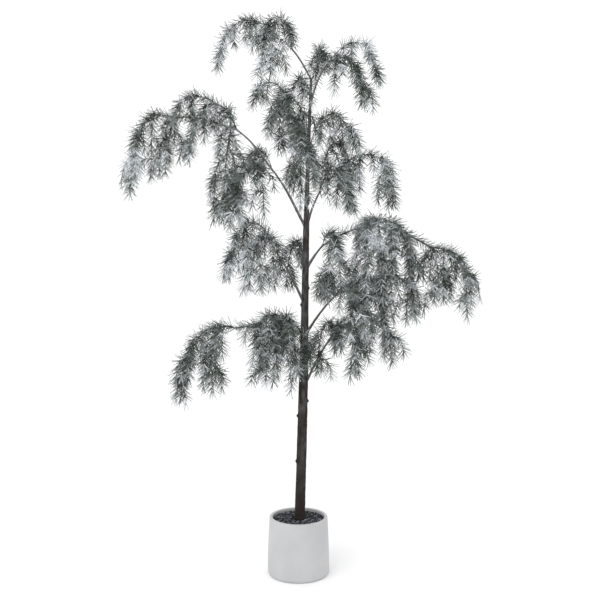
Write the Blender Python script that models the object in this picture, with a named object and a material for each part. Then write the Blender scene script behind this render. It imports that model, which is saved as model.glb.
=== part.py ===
"""Potted artificial weeping pine with frosted needles, 2.10 m tall.

A slim dark trunk stands in bark chips in a round white pot. Rising boughs carry drooping foxtail
shoots that hang in separate masses. Metres, +Z up, the origin in the middle of the pot's flat
underside, the picture side towards -Y.
"""
import math
import random
from collections import namedtuple

import bpy
import bmesh
import numpy as np

# Clearance between pieces that touch on the real tree.
GAP = 0.0003

# Pot: a straight round planter, a little wider at its base.
POT_HEIGHT = 0.210
POT_RIM_RADIUS = 0.1085
POT_BASE_RADIUS = 0.1145
POT_FOOT_RADIUS = 0.105
POT_WALL = 0.0115
POT_FLOOR = 0.022
POT_SIDES = 40

# Bark chips that fill the pot to just under the rim.
FILL_LEVEL = 0.2005
FILL_SEAT_RADIUS = 0.030
CHIP_BUMP = 0.0035
FILL_SIDES = 24

# Trunk: flat cut on the chips, slight lean to the right, up to the fork at the top.
TRUNK_FOOT = FILL_LEVEL + GAP
TRUNK_TOP = 1.842
TRUNK_LEAN = 0.040
TRUNK_SIDES = 10
TRUNK_GIRTH = [
    (0.2005, 0.0245),
    (0.213, 0.0205),
    (0.235, 0.0192),
    (0.300, 0.0188),
    (0.500, 0.0184),
    (0.690, 0.0172),
    (0.870, 0.0152),
    (1.050, 0.0132),
    (1.290, 0.0115),
    (1.400, 0.0088),
    (1.620, 0.0062),
    (1.842, 0.0048),
]

# Boughs: the end of a bough is a small knob that the shoots leave.
KNOB_RADIUS = 0.0050
BOUGH_SIDES = 5
BOUGH_STEP = 0.045

# Shoots: three-sided cores with needles that stand out and forward all round.
CORE_ROOT = 0.0012
CORE_RADIUS = 0.0021
CORE_TIP = 0.0013
WHORL_STEP = 0.046
FOOT_STEP = 0.015
NEEDLE_LENGTH = 0.040
NEEDLE_PITCH = 50
SPACE_MARGIN = 0.0020
SAMPLE_STEP = 0.005

# foot is the height on the trunk, or the piece whose end it grows from. heading is in degrees
# from +X towards +Y. climb is how far the end lies above the foot. leave and arrive are the
# slopes of the two ends, thick is the radius of the foot.
Limb = namedtuple("Limb", "foot heading reach climb leave arrive thick")
LIMBS = {
    "bough_top_left": Limb("trunk", 167, 0.095, 0.135, 70, 40, 0.0038),
    "bough_top_right": Limb(1.750, 357, 0.065, 0.150, 72, 50, 0.0040),
    "bough_upper_left": Limb(1.570, 143, 0.090, 0.165, 74, 55, 0.0040),
    "bough_left": Limb(1.285, 188, 0.130, 0.220, 61, 50, 0.0058),
    "bough_left_far": Limb("bough_left", 171, 0.130, 0.145, 56, 35, 0.0036),
    "bough_left_outer": Limb("bough_left_far", 178, 0.230, 0.045, 30, -8, 0.0030),
    "bough_right": Limb(1.270, 346, 0.055, 0.155, 80, 60, 0.0050),
    "bough_mid_left": Limb(1.000, 197, 0.115, 0.200, 63, 52, 0.0054),
    "bough_big_right": Limb(1.130, 349, 0.065, 0.090, 56, 45, 0.0060),
    "bough_big_right_far": Limb("bough_big_right", 3, 0.185, 0.070, 36, 2, 0.0038),
    "bough_big_right_outer": Limb("bough_big_right_far", 8, 0.215, -0.075, 0, -30, 0.0032),
    "bough_low_right": Limb(0.875, 325, 0.130, 0.155, 58, 42, 0.0056),
    "bough_low_left": Limb(0.705, 204, 0.100, 0.185, 70, 46, 0.0056),
    "bough_low_left_far": Limb("bough_low_left", 186, 0.155, 0.025, 32, -10, 0.0036),
    "bough_foot_right": Limb(0.685, 21, 0.120, 0.195, 62, 48, 0.0054),
}

# rise is how far the stem climbs to its crest, fall is how far it hangs from there, crest is
# where along its reach the crest lies and bare is the part of the stem with no needles.
# hangs has the drop of each side shoot, in order along the stem.
Mass = namedtuple("Mass", "foot heading reach rise fall crest arrive bare hangs")
MASSES = {
    "top_left_tip": Mass("bough_top_left", 175, 0.255, 0.090, 0.160, 0.62, -76, 0.10, (0.14, 0.08, 0.06, 0.06)),
    "top_left_heart": Mass("bough_top_left", 249, 0.145, 0.080, 0.225, 0.40, -86, 0.08, (0.07, 0.12, 0.06)),
    "top_back": Mass("trunk", 64, 0.115, 0.140, 0.080, 0.50, -86, 0.35, (0.06, 0.06)),
    "top_right_tip": Mass("bough_top_right", 3, 0.185, 0.080, 0.140, 0.62, -78, 0.28, (0.05, 0.05, 0.04)),
    "top_right_middle": Mass("bough_top_right", 325, 0.155, 0.015, 0.185, 0.40, -84, 0.05, (0.13, 0.07, 0.07)),
    "collar": Mass("trunk", 217, 0.105, -0.005, 0.175, 0.50, -86, 0.10, (0.07, 0.09, 0.07)),
    "upper_left_crest": Mass("bough_upper_left", 167, 0.145, 0.115, 0.085, 0.50, -84, 0.10, (0.06, 0.05)),
    "upper_left_hang": Mass("bough_upper_left", 242, 0.080, 0.055, 0.210, 0.60, -86, 0.08, (0.08, 0.09, 0.06)),
    "upper_front": Mass(1.510, 260, 0.150, 0.150, 0.300, 0.55, -88, 0.30, (0.10, 0.12, 0.05)),
    "upper_back": Mass(1.580, 98, 0.205, 0.165, 0.255, 0.55, -86, 0.40, (0.07, 0.12, 0.08)),
    "upper_right": Mass(1.595, 341, 0.170, 0.115, 0.130, 0.45, -72, 0.25, (0.08, 0.08, 0.05)),
    "left_under": Mass("bough_left", 220, 0.190, 0.000, 0.190, 0.35, -86, 0.12, (0.17, 0.11, 0.13, 0.07)),
    "left_fill": Mass("bough_left_far", 242, 0.115, 0.015, 0.350, 0.12, -70, 0.05, (0.10, 0.12, 0.12, 0.06)),
    "left_back": Mass("bough_left", 128, 0.240, 0.080, 0.175, 0.45, -84, 0.15, (0.06, 0.10, 0.08)),
    "left_crest": Mass("bough_left_far", 200, 0.175, 0.090, 0.195, 0.50, -84, 0.08, (0.10, 0.12, 0.10)),
    "left_outer": Mass("bough_left_far", 159, 0.305, 0.140, 0.285, 0.70, -84, 0.30, (0.08, 0.12, 0.14)),
    "left_tip": Mass("bough_left_outer", 191, 0.155, 0.010, 0.265, 0.45, -84, 0.05, (0.22, 0.18, 0.12)),
    "right_up": Mass("bough_right", 25, 0.130, 0.185, 0.130, 0.45, -84, 0.28, (0.08, 0.10, 0.07)),
    "right_heart": Mass("bough_right", 311, 0.140, 0.085, 0.160, 0.50, -84, 0.22, (0.06, 0.10, 0.09, 0.05)),
    "right_tip": Mass("bough_right", 3, 0.270, 0.135, 0.185, 0.72, -84, 0.34, (0.12, 0.13, 0.10)),
    "mid_left_top": Mass("bough_mid_left", 161, 0.185, 0.110, 0.210, 0.55, -84, 0.12, (0.08, 0.12, 0.12, 0.08)),
    "mid_left_front": Mass("bough_mid_left", 234, 0.150, 0.050, 0.200, 0.40, -86, 0.05, (0.13, 0.12, 0.12, 0.06)),
    "mid_back": Mass(1.175, 116, 0.155, 0.070, 0.175, 0.45, -86, 0.20, (0.08, 0.10, 0.06)),
    "big_right_near": Mass("bough_big_right", 296, 0.140, 0.050, 0.210, 0.50, -86, 0.08, (0.08, 0.12, 0.14)),
    "big_right_heart": Mass("bough_big_right_far", 275, 0.170, 0.025, 0.290, 0.40, -87, 0.05, (0.10, 0.18, 0.20, 0.10)),
    "big_right_back": Mass("bough_big_right_far", 94, 0.200, 0.025, 0.240, 0.50, -86, 0.12, (0.10, 0.14, 0.12)),
    "big_right_crest": Mass("bough_big_right_far", 339, 0.135, 0.015, 0.180, 0.55, -84, 0.10, (0.16, 0.16, 0.10)),
    "big_right_outer": Mass("bough_big_right_outer", 58, 0.085, 0.000, 0.190, 0.35, -86, 0.10, (0.10, 0.12, 0.08)),
    "big_right_tip": Mass("bough_big_right_outer", 341, 0.150, -0.010, 0.135, 0.30, -60, 0.08, (0.18, 0.22, 0.11)),
    "low_right_heel": Mass("bough_low_right", 114, 0.100, 0.100, 0.105, 0.35, -86, 0.10, (0.06, 0.08, 0.05)),
    "low_right_front": Mass("bough_low_right", 303, 0.180, 0.040, 0.155, 0.50, -86, 0.10, (0.07, 0.12, 0.12, 0.08)),
    "low_right_middle": Mass("bough_low_right", 6, 0.190, 0.055, 0.250, 0.60, -86, 0.20, (0.08, 0.12, 0.18, 0.12)),
    "low_right_tip": Mass("bough_low_right", 22, 0.340, 0.075, 0.155, 0.75, -80, 0.30, (0.10, 0.12, 0.14, 0.10)),
    "foot_right_heel": Mass("bough_foot_right", 228, 0.090, 0.055, 0.185, 0.35, -86, 0.05, (0.10, 0.07, 0.06)),
    "foot_right_front": Mass("bough_foot_right", 304, 0.155, 0.050, 0.170, 0.60, -86, 0.05, (0.07, 0.09, 0.09)),
    "foot_right_back": Mass("bough_foot_right", 43, 0.165, 0.055, 0.120, 0.55, -86, 0.15, (0.08, 0.08)),
    "low_left_heel": Mass("bough_low_left", 307, 0.105, 0.080, 0.210, 0.45, -86, 0.10, (0.09, 0.12, 0.08)),
    "low_left_front": Mass("bough_low_left", 253, 0.140, 0.080, 0.240, 0.35, -87, 0.10, (0.12, 0.14, 0.12, 0.06)),
    "low_left_middle": Mass("bough_low_left", 226, 0.130, 0.075, 0.175, 0.50, -84, 0.08, (0.08, 0.12)),
    "low_left_hang": Mass("bough_low_left_far", 203, 0.100, 0.010, 0.195, 0.40, -84, 0.05, (0.18, 0.16, 0.10)),
    "low_left_tip": Mass("bough_low_left_far", 174, 0.200, 0.005, 0.265, 0.34, -86, 0.10, (0.12, 0.14, 0.10, 0.08)),
    "low_back": Mass(0.675, 124, 0.235, 0.265, 0.200, 0.50, -86, 0.30, (0.10, 0.10, 0.12)),
}

UP = np.array([0.0, 0.0, 1.0])

# name: base colour, roughness, metallic
FINISHES = {
    "pot_ceramic": ((0.62, 0.63, 0.66), 0.55, 0.0),
    "bark_chips": ((0.045, 0.045, 0.050), 0.85, 0.0),
    "trunk_bark": ((0.040, 0.031, 0.026), 0.85, 0.0),
    "bough_bark": ((0.060, 0.048, 0.040), 0.85, 0.0),
    "frosted_needles": ((0.155, 0.180, 0.165), 0.80, 0.0),
}


def unit(vector):
    """The vector divided by its length."""
    return vector / np.linalg.norm(vector)


def towards(heading, pitch):
    """A unit vector at a heading in plan and a pitch above the level."""
    turn = math.radians(heading)
    lift = math.radians(pitch)
    return np.array([math.cos(turn) * math.cos(lift), math.sin(turn) * math.cos(lift), math.sin(lift)])


def bezier(a, b, c, d, count=40):
    """A cubic curve from a to d that leaves towards b and arrives from c."""
    t = np.linspace(0.0, 1.0, count)[:, None]
    return (1 - t) ** 3 * a + 3 * (1 - t) ** 2 * t * b + 3 * (1 - t) * t * t * c + t ** 3 * d


def spaced(points, step):
    """The same path in equal steps of about the given length."""
    run = np.concatenate([[0.0], np.cumsum(np.linalg.norm(np.diff(points, axis=0), axis=1))])
    count = max(2, int(round(run[-1] / step))) + 1
    marks = np.linspace(0.0, run[-1], count)
    return np.stack([np.interp(marks, run, points[:, axis]) for axis in range(3)], axis=1)


def point_along(points, share):
    """The point that lies a share of the way along a path."""
    run = np.concatenate([[0.0], np.cumsum(np.linalg.norm(np.diff(points, axis=0), axis=1))])
    return np.array([np.interp(share * run[-1], run, points[:, axis]) for axis in range(3)])


def trunk_centre(height):
    """The middle of the trunk at a height: a straight lean with a slight double bend."""
    t = (height - FILL_LEVEL) / (TRUNK_TOP - FILL_LEVEL)
    x = 0.005 + TRUNK_LEAN * t + 0.004 * math.sin(2.2 * math.pi * t) * t
    y = 0.006 * math.sin(1.6 * math.pi * t)
    return np.array([x, y, height])


def trunk_radius(height):
    """The trunk's radius at a height, read between the named girths."""
    heights, radii = zip(*TRUNK_GIRTH)
    return float(np.interp(height, heights, radii))


def limb_path(start, away, limb):
    """A rising bough: one cubic curve between its two end slopes."""
    end = start + limb.reach * towards(limb.heading, 0) + limb.climb * UP
    handle = 0.36 * np.linalg.norm(end - start)
    curve = bezier(start, start + handle * away, end - handle * towards(limb.heading, limb.arrive), end)
    return spaced(curve, SAMPLE_STEP)


def arch_path(start, away, heading, reach, rise, fall, crest, arrive):
    """A weeping shoot: it rises from the foot to its crest, arches over and hangs from there."""
    level = towards(heading, 0)
    top = start + crest * reach * level + rise * UP
    end = start + reach * level + (rise - fall) * UP
    handle = 0.45 * np.linalg.norm(top - start)
    up_side = bezier(start, start + handle * away, top - 0.5 * crest * reach * level, top)
    over = 0.55 * (1 - crest) * reach * level
    down_side = bezier(top, top + over, end - 0.42 * fall * towards(heading, arrive), end)
    return spaced(np.concatenate([up_side, down_side[1:]]), SAMPLE_STEP)


def first_slope(mass):
    """The pitch at which a stem leaves its foot, steeper where its crest is high and near."""
    return min(80.0, 8.0 + 1.25 * math.degrees(math.atan2(mass.rise, mass.crest * mass.reach)))


def spread_apart(wanted, sizes, blocked):
    """Turns the directions that leave one knob until their feet stand clear of each other."""
    found = [unit(w) for w in wanted]
    ring = KNOB_RADIUS + GAP
    for _ in range(200):
        moved = False
        for i in range(len(found)):
            for j in range(i):
                need = 2.0 * math.asin(min(0.95, (sizes[i] + sizes[j] + 0.0006) / (2.0 * ring)))
                angle = math.acos(float(np.clip(found[i] @ found[j], -1.0, 1.0)))
                if angle < need:
                    aside = found[i] - found[j] + np.array([1e-4, 2e-4, 3e-4])
                    share = 0.5 * (need - angle) + 0.01
                    found[i] = unit(found[i] + share * unit(aside) * sizes[j] / (sizes[i] + sizes[j]))
                    found[j] = unit(found[j] - share * unit(aside) * sizes[i] / (sizes[i] + sizes[j]))
                    moved = True
        for i in range(len(found)):
            angle = math.acos(float(np.clip(found[i] @ blocked, -1.0, 1.0)))
            if angle < math.radians(62):
                found[i] = unit(found[i] - 0.05 * blocked)
                moved = True
        if not moved:
            break
    return found


def grow_skeleton():
    """Lays out the centre lines of all boughs and shoots, each piece under its own name."""
    wanted = {}
    for name, limb in LIMBS.items():
        wanted[name] = (limb.foot, towards(limb.heading, limb.leave), limb.thick)
    for name, mass in MASSES.items():
        wanted[name] = (mass.foot, towards(mass.heading, first_slope(mass)), CORE_ROOT)
    ends = {"trunk": trunk_centre(TRUNK_TOP)}
    back = {"trunk": -UP}
    limbs = {}
    away = {}
    for foot in ["trunk"] + list(LIMBS):
        if foot in LIMBS:
            limb = LIMBS[foot]
            start, leave = away[foot] if foot in away else (trunk_centre(limb.foot), wanted[foot][1])
            limbs[foot] = limb_path(start, leave, limb)
            ends[foot] = limbs[foot][-1]
            back[foot] = unit(limbs[foot][-3] - limbs[foot][-1])
        guests = [name for name, value in wanted.items() if value[0] == foot]
        turned = spread_apart([wanted[g][1] for g in guests], [wanted[g][2] for g in guests], back[foot])
        for guest, way in zip(guests, turned):
            away[guest] = (ends[foot] + (KNOB_RADIUS + GAP) * way, way)
    shoots = {}
    for number, (name, mass) in enumerate(MASSES.items()):
        chance = random.Random(100 + number)
        if name in away:
            start, leave = away[name]
        else:
            leave = wanted[name][1]
            start = trunk_centre(mass.foot)
            start = start + (trunk_radius(mass.foot) + GAP + CORE_ROOT) * towards(mass.heading, 0)
        stem = arch_path(start, leave, mass.heading, mass.reach, mass.rise, mass.fall, mass.crest, mass.arrive)
        shoots[name] = [stem]
        for order, drop in enumerate(mass.hangs):
            place = mass.bare + (0.88 - mass.bare) * (order + 0.5) / len(mass.hangs)
            root = point_along(whorl_line(stem), place)
            side = 1 if (order + number) % 2 else -1
            heading = mass.heading + side * chance.uniform(50, 85)
            lift = chance.uniform(0.004, 0.014)
            path = arch_path(root, towards(heading, 30), heading, 0.012 + 0.30 * drop, lift, drop + lift, 0.5, -86)
            shoots[name].append(path)
    return limbs, shoots


def dense(line):
    """The straight stretches of a line, each divided into short equal steps."""
    parts = []
    for a, b in zip(line, line[1:]):
        count = max(1, int(math.ceil(np.linalg.norm(b - a) / SAMPLE_STEP)))
        parts.append(a + np.linspace(0.0, 1.0, count, endpoint=False)[:, None] * (b - a))
    parts.append(line[-1:])
    return np.concatenate(parts)


def whorl_line(path):
    """The points of a shoot where its core has a ring: a short foot, then equal steps."""
    run = np.concatenate([[0.0], np.cumsum(np.linalg.norm(np.diff(path, axis=0), axis=1))])
    count = max(1, int(round((run[-1] - FOOT_STEP) / WHORL_STEP)))
    marks = np.concatenate([[0.0], np.linspace(FOOT_STEP, run[-1], count + 1)])
    return np.stack([np.interp(marks, run, path[:, axis]) for axis in range(3)], axis=1)


def drop_crowded(limbs, shoots):
    """Shortens a side shoot where it comes too near a limb, the trunk or another mass's shoots."""
    trunk = np.array([trunk_centre(h) for h in np.arange(TRUNK_FOOT, TRUNK_TOP, SAMPLE_STEP)])
    girth = np.array([trunk_radius(p[2]) for p in trunk])
    wood = [dense(spaced(path, BOUGH_STEP)) for path in limbs.values()]
    kept = {name: [whorl_line(paths[0])] for name, paths in shoots.items()}
    for name, paths in shoots.items():
        for path in paths[1:]:
            others = [dense(line) for other, lines in kept.items() if other != name for line in lines]
            solid = np.concatenate(others + wood)
            trail = dense(whorl_line(path))
            near = np.linalg.norm(trail[:, None] - solid[None], axis=2).min(axis=1) < 0.015
            near |= (np.linalg.norm(trail[:, None] - trunk[None], axis=2) - girth[None]).min(axis=1) < 0.010
            near[:2] = False
            length = int(np.argmax(near)) - 5 if near.any() else len(path)
            if length >= 8:
                kept[name].append(whorl_line(path[:length]))
    return kept


def frames(path):
    """Tangents and a side vector carried along the path with no twist."""
    tangents = np.gradient(path, axis=0)
    tangents /= np.linalg.norm(tangents, axis=1)[:, None]
    side = unit(np.cross(tangents[0], [0.31, 0.87, 0.40]))
    sides = []
    for tangent in tangents:
        side = unit(side - (side @ tangent) * tangent)
        sides.append(side)
    return tangents, np.array(sides)


def finish(name, colour):
    """The named Principled material, made once."""
    material = bpy.data.materials.get(name)
    if material is None:
        material = bpy.data.materials.new(name)
        material.use_nodes = True
        shader = material.node_tree.nodes["Principled BSDF"]
        base, roughness, metallic = colour
        shader.inputs["Base Color"].default_value = (*base, 1.0)
        shader.inputs["Roughness"].default_value = roughness
        shader.inputs["Metallic"].default_value = metallic
    return material


def add_piece(name, vertices, faces, material):
    """A named mesh object with its faces turned outward."""
    mesh = bpy.data.meshes.new(name)
    mesh.from_pydata([tuple(v) for v in vertices], [], faces)
    bm = bmesh.new()
    bm.from_mesh(mesh)
    bmesh.ops.recalc_face_normals(bm, faces=bm.faces)
    bm.to_mesh(mesh)
    bm.free()
    mesh.materials.append(finish(material, FINISHES[material]))
    piece = bpy.data.objects.new(name, mesh)
    bpy.context.scene.collection.objects.link(piece)
    return piece


def lathe(name, profile, sides, material):
    """Turns a profile of (radius, height) pairs about the Z axis, closed on the axis at both ends."""
    vertices = []
    rings = []
    for radius, height in profile:
        if radius == 0.0:
            rings.append([len(vertices)])
            vertices.append((0.0, 0.0, height))
            continue
        rings.append(list(range(len(vertices), len(vertices) + sides)))
        for step in range(sides):
            angle = 2 * math.pi * step / sides
            vertices.append((radius * math.cos(angle), radius * math.sin(angle), height))
    faces = []
    for low, high in zip(rings, rings[1:]):
        for step in range(sides):
            after = (step + 1) % sides
            if len(low) == 1:
                faces.append((low[0], high[after], high[step]))
            elif len(high) == 1:
                faces.append((low[step], low[after], high[0]))
            else:
                faces.append((low[step], low[after], high[after], high[step]))
    return add_piece(name, vertices, faces, material)


def tube(path, radii, sides):
    """Vertices and faces of a round tube along a path, closed flat at both ends."""
    tangents, sides_along = frames(path)
    across = np.cross(tangents, sides_along)
    vertices = []
    for centre, side, other, radius in zip(path, sides_along, across, radii):
        for step in range(sides):
            angle = 2 * math.pi * step / sides
            vertices.append(centre + radius * (math.cos(angle) * side + math.sin(angle) * other))
    faces = [tuple(range(sides))]
    for ring in range(len(path) - 1):
        for step in range(sides):
            after = (step + 1) % sides
            low = ring * sides
            faces.append((low + step, low + after, low + sides + after, low + sides + step))
    last = (len(path) - 1) * sides
    faces.append(tuple(range(last + sides - 1, last - 1, -1)))
    return vertices, faces


def make_pot():
    """The planter: rounded foot and rim, inside open to its floor."""
    inner = POT_RIM_RADIUS - POT_WALL
    profile = [
        (0.0, 0.0),
        (POT_FOOT_RADIUS, 0.0),
        (POT_BASE_RADIUS - 0.0038, 0.0022),
        (POT_BASE_RADIUS - 0.0008, 0.0070),
        (POT_BASE_RADIUS, 0.0140),
        (POT_BASE_RADIUS - 0.0005, 0.0700),
        (POT_BASE_RADIUS - 0.0025, 0.1400),
        (POT_RIM_RADIUS, POT_HEIGHT - 0.0060),
        (POT_RIM_RADIUS - 0.0012, POT_HEIGHT - 0.0020),
        (POT_RIM_RADIUS - 0.0040, POT_HEIGHT),
        (inner + 0.0040, POT_HEIGHT),
        (inner + 0.0012, POT_HEIGHT - 0.0020),
        (inner, POT_HEIGHT - 0.0060),
        (inner, POT_FLOOR + 0.0080),
        (inner - 0.0070, POT_FLOOR),
        (0.0, POT_FLOOR),
    ]
    return lathe("pot", profile, POT_SIDES, "pot_ceramic")


def make_fill():
    """The filling: a plug with a bumpy top of bark chips and a flat seat for the trunk."""
    inner = POT_RIM_RADIUS - POT_WALL - 0.0004
    profile = [
        (0.0, POT_FLOOR + GAP),
        (inner - 0.0072, POT_FLOOR + GAP),
        (inner, POT_FLOOR + 0.0085),
        (inner, FILL_LEVEL - 0.0010),
        (inner - 0.0110, FILL_LEVEL),
        (inner - 0.0230, FILL_LEVEL),
        (inner - 0.0350, FILL_LEVEL),
        (inner - 0.0480, FILL_LEVEL),
        (FILL_SEAT_RADIUS, FILL_LEVEL),
        (0.0, FILL_LEVEL),
    ]
    fill = lathe("bark_chip_fill", profile, FILL_SIDES, "bark_chips")
    chance = random.Random(7)
    for vertex in fill.data.vertices:
        out = math.hypot(vertex.co.x, vertex.co.y)
        if vertex.co.z > FILL_LEVEL - 0.002 and out > FILL_SEAT_RADIUS + 0.002:
            vertex.co.z += chance.uniform(-CHIP_BUMP, 0.5 * CHIP_BUMP)
    return fill


def trunk_tube(extra):
    """The trunk's rings with an extra radius, for the trunk itself and for cutting boughs to it."""
    low = TRUNK_FOOT - (0.01 if extra else 0.0)
    high = TRUNK_TOP + (0.001 if extra else 0.0)
    heights = [low] + [h for h, _ in TRUNK_GIRTH[1:-1]] + [high]
    path = np.array([trunk_centre(h) for h in heights])
    vertices = []
    for centre in path:
        radius = trunk_radius(centre[2]) + extra
        for step in range(TRUNK_SIDES):
            angle = 2 * math.pi * step / TRUNK_SIDES
            vertices.append(centre + radius * np.array([math.cos(angle), math.sin(angle), 0.0]))
    faces = [tuple(range(TRUNK_SIDES - 1, -1, -1))]
    for ring in range(len(path) - 1):
        low_ring = ring * TRUNK_SIDES
        for step in range(TRUNK_SIDES):
            after = (step + 1) % TRUNK_SIDES
            high_ring = low_ring + TRUNK_SIDES
            faces.append((low_ring + step, low_ring + after, high_ring + after, high_ring + step))
    top = (len(path) - 1) * TRUNK_SIDES
    faces.append(tuple(range(top, top + TRUNK_SIDES)))
    return vertices, faces


def make_limb(name, path, cutter):
    """One tapering bough that ends in a knob, its foot cut to the trunk where it grows from it."""
    limb = LIMBS[name]
    line = spaced(path, BOUGH_STEP)
    t = np.linspace(0.0, 1.0, len(line))
    tip = min(0.62 * limb.thick, 0.72 * KNOB_RADIUS)
    radii = limb.thick + (tip - limb.thick) * t ** 0.8
    ahead = unit(path[-1] - path[-2])
    line = np.concatenate([line[:-1], [line[-1] - 0.75 * KNOB_RADIUS * ahead, line[-1], line[-1] + 0.80 * KNOB_RADIUS * ahead]])
    radii = np.concatenate([radii[:-1], [0.68 * KNOB_RADIUS, 0.98 * KNOB_RADIUS, 0.45 * KNOB_RADIUS]])
    vertices, faces = tube(line, radii, BOUGH_SIDES)
    piece = add_piece(name, vertices, faces, "bough_bark")
    if not isinstance(limb.foot, str):
        cut = piece.modifiers.new("foot_to_trunk", "BOOLEAN")
        cut.operation = "DIFFERENCE"
        cut.solver = "EXACT"
        cut.object = cutter
        apply_modifiers(piece)
    return piece


def apply_modifiers(piece):
    """Keeps the piece's finished shape as its own mesh and drops the modifiers."""
    graph = bpy.context.evaluated_depsgraph_get()
    graph.update()
    shape = bpy.data.meshes.new_from_object(piece.evaluated_get(graph))
    piece.modifiers.clear()
    piece.data = shape


def shoot_core(line, root_radius, bare):
    """Rings of a three-sided core, each turned sixty degrees on, and the first ring with needles."""
    tangents, sides = frames(line)
    across = np.cross(tangents, sides)
    t = np.linspace(0.0, 1.0, len(line))
    radii = CORE_RADIUS + (CORE_TIP - CORE_RADIUS) * t
    radii[0] = root_radius
    rings = []
    for number, (centre, side, other, radius) in enumerate(zip(line, sides, across, radii)):
        turns = [math.radians(120 * step + 60 * (number % 2)) for step in range(3)]
        rings.append([centre + radius * (math.cos(a) * side + math.sin(a) * other) for a in turns])
    return tangents, rings, max(1, int(round(bare * (len(line) - 1))))


def needle_tips(line, tangents, rings, chance):
    """For each face of the core, the ring number, the three corners and the needle's tip."""
    found = []
    for number in range(len(rings) - 1):
        low, high = rings[number], rings[number + 1]
        odd = number % 2
        for step in range(3):
            after = (step + 1) % 3
            peak = (step + 1) % 3 if odd else step
            up_face = ((number, step), (number, after), (number + 1, peak))
            nxt = (peak + 1) % 3
            down_face = ((number, after), (number + 1, nxt), (number + 1, peak))
            for face, share in ((up_face, 0.35), (down_face, 0.65)):
                corners = np.array([rings[r][k] for r, k in face])
                middle = corners.mean(axis=0)
                centre = line[number] + share * (line[number + 1] - line[number])
                ahead = unit(tangents[number] + tangents[number + 1])
                out = middle - centre
                out = unit(out - (out @ ahead) * ahead)
                pitch = math.radians(NEEDLE_PITCH + chance.uniform(-7, 7))
                length = NEEDLE_LENGTH * chance.uniform(0.88, 1.08)
                tip = centre + length * (math.cos(pitch) * ahead + math.sin(pitch) * out)
                found.append((number, face, tip))
    return found


def shoot_mesh(line, root_radius, bare, chance, order, is_free):
    """A core with a slim needle raised on each face, left plain where the space is taken."""
    tangents, rings, first = shoot_core(line, root_radius, bare)
    vertices = [corner for ring in rings for corner in ring]
    faces = [(0, 1, 2)]
    last = 3 * (len(rings) - 1)
    reach = NEEDLE_LENGTH * np.array([0.75, 0.5, 0.25])
    ends = line[-1] + reach[:, None] * tangents[-1]
    clear = is_free(ends, order)
    vertices.append(ends[0] if clear.all() else ends[1] if clear[1:].all() else line[-1] + 0.004 * tangents[-1])
    for step in range(3):
        faces.append((last + step, last + (step + 1) % 3, len(vertices) - 1))
    candidates = needle_tips(line, tangents, rings, chance)
    probes = []
    for number, _, tip in candidates:
        spread = np.linspace(0.0, 1.0, 6)[:, None] * (line[number + 1] - line[number])
        for share in (0.25, 0.5, 0.75, 1.0):
            probes.extend((1 - share) * (line[number] + spread) + share * tip)
    free = is_free(np.array(probes), order).reshape(len(candidates), 24).all(axis=1)
    for (number, face, tip), clear in zip(candidates, free):
        a, b, c = (3 * r + k for r, k in face)
        if number < first or not clear:
            faces.append((a, b, c))
            continue
        vertices.append(tip)
        top = len(vertices) - 1
        faces.extend([(a, b, top), (b, c, top), (c, a, top)])
    return vertices, faces


def make_mass(number, name, shoots, limbs, trunk):
    """One mass of foliage: its shoots grown in their own space and joined to the stem."""
    chance = random.Random(500 + number)
    own = [dense(line) for line in shoots[name]]
    others = np.concatenate([dense(line) for other, lines in shoots.items() if other != name for line in lines])
    wood = np.concatenate([dense(spaced(path, BOUGH_STEP)) for path in limbs.values()])
    low = np.concatenate(own).min(axis=0) - 2.5 * NEEDLE_LENGTH
    high = np.concatenate(own).max(axis=0) + 2.5 * NEEDLE_LENGTH
    others = others[((others > low) & (others < high)).all(axis=1)]
    wood = np.concatenate([wood[((wood > low) & (wood < high)).all(axis=1)], wood[:1]])
    others = np.concatenate([others, wood[:1]])

    def is_free(points, order):
        """True where a point is nearer to its own shoot than to any other and clear of wood."""
        mine = np.linalg.norm(points[:, None] - own[order][None], axis=2).min(axis=1)
        theirs = np.linalg.norm(points[:, None] - others[None], axis=2).min(axis=1)
        boughs = np.linalg.norm(points[:, None] - wood[None], axis=2).min(axis=1)
        stem = (np.linalg.norm(points[:, None] - trunk[0][None], axis=2) - trunk[1][None]).min(axis=1)
        free = (mine + 2 * SPACE_MARGIN < theirs) & (boughs > 0.0095) & (stem > 0.003)
        for other, line in enumerate(own):
            if other != order:
                free &= mine < np.linalg.norm(points[:, None] - line[None], axis=2).min(axis=1) + 0.0002
        return free

    mass = MASSES[name]
    parts = bpy.data.collections.new(name + "_shoots")
    bpy.context.scene.collection.children.link(parts)
    pieces = []
    for order, line in enumerate(shoots[name]):
        bare = mass.bare if order == 0 else 0.0
        vertices, faces = shoot_mesh(line, CORE_ROOT if order == 0 else 0.0009, bare, chance, order, is_free)
        piece = add_piece(name if order == 0 else f"{name}_side_{order}", vertices, faces, "frosted_needles")
        pieces.append(piece)
        if order:
            bpy.context.scene.collection.objects.unlink(piece)
            parts.objects.link(piece)
    if len(pieces) > 1:
        join = pieces[0].modifiers.new("join_shoots", "BOOLEAN")
        join.operation = "UNION"
        join.operand_type = "COLLECTION"
        join.collection = parts
        join.solver = "MANIFOLD"
        apply_modifiers(pieces[0])
    for piece in pieces[1:]:
        bpy.data.objects.remove(piece, do_unlink=True)
    bpy.data.collections.remove(parts)
    drop_scraps(pieces[0])
    return pieces[0]


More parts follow.
